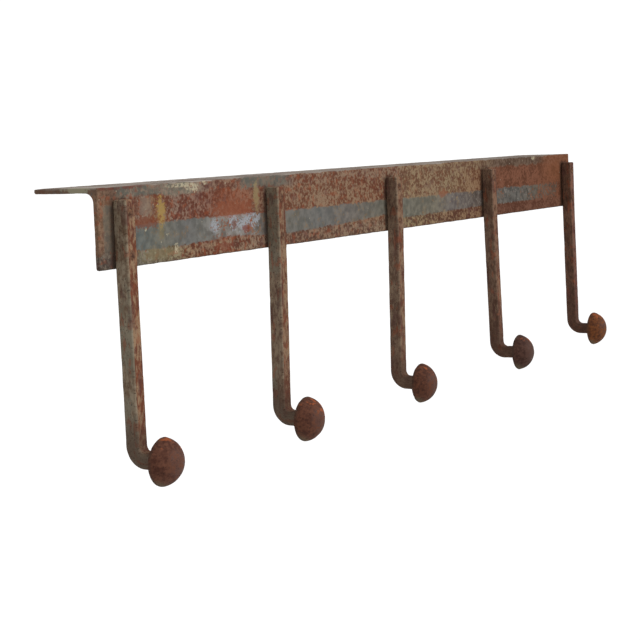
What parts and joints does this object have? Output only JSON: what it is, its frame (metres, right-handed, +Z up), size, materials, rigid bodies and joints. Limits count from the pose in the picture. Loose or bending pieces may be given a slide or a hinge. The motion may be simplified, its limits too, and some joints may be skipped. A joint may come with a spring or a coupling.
{
  "type": "wall hook rack",
  "caption": "Long angle-iron rail with a row of forged square-bar hooks that hang down from its front, each bent forward into a domed knob.",
  "frame": {"origin": "middle of the row of screw holes, on the top face of the rail's top leg", "axes": "+X along the rail to the right, -Y to the front where the hooks stand, +Z up"},
  "size_m": [1.06, 0.1362, 0.2768],
  "materials": {
    "rail_iron": "matt, rusted, with worn patches of grey-blue and khaki paint",
    "bar_iron": "matt, forged and rusted",
    "knob_iron": "rusted, rubbed smoother on the dome",
    "rivet_iron": "matt, rusted"
  },
  "bodies": {
    "root": {"rail": "rail_iron", "hook_bar_1": "bar_iron", "hook_bar_2": "bar_iron", "hook_bar_3": "bar_iron", "hook_bar_4": "bar_iron", "hook_bar_5": "bar_iron", "knob_1": "knob_iron", "knob_2": "knob_iron", "knob_3": "knob_iron", "knob_4": "knob_iron", "knob_5": "knob_iron", "rivet_upper_1": "rivet_iron", "rivet_upper_2": "rivet_iron", "rivet_upper_3": "rivet_iron", "rivet_upper_4": "rivet_iron", "rivet_upper_5": "rivet_iron", "rivet_lower_1": "rivet_iron", "rivet_lower_2": "rivet_iron", "rivet_lower_3": "rivet_iron", "rivet_lower_4": "rivet_iron", "rivet_lower_5": "rivet_iron"}
  },
  "joints": []
}
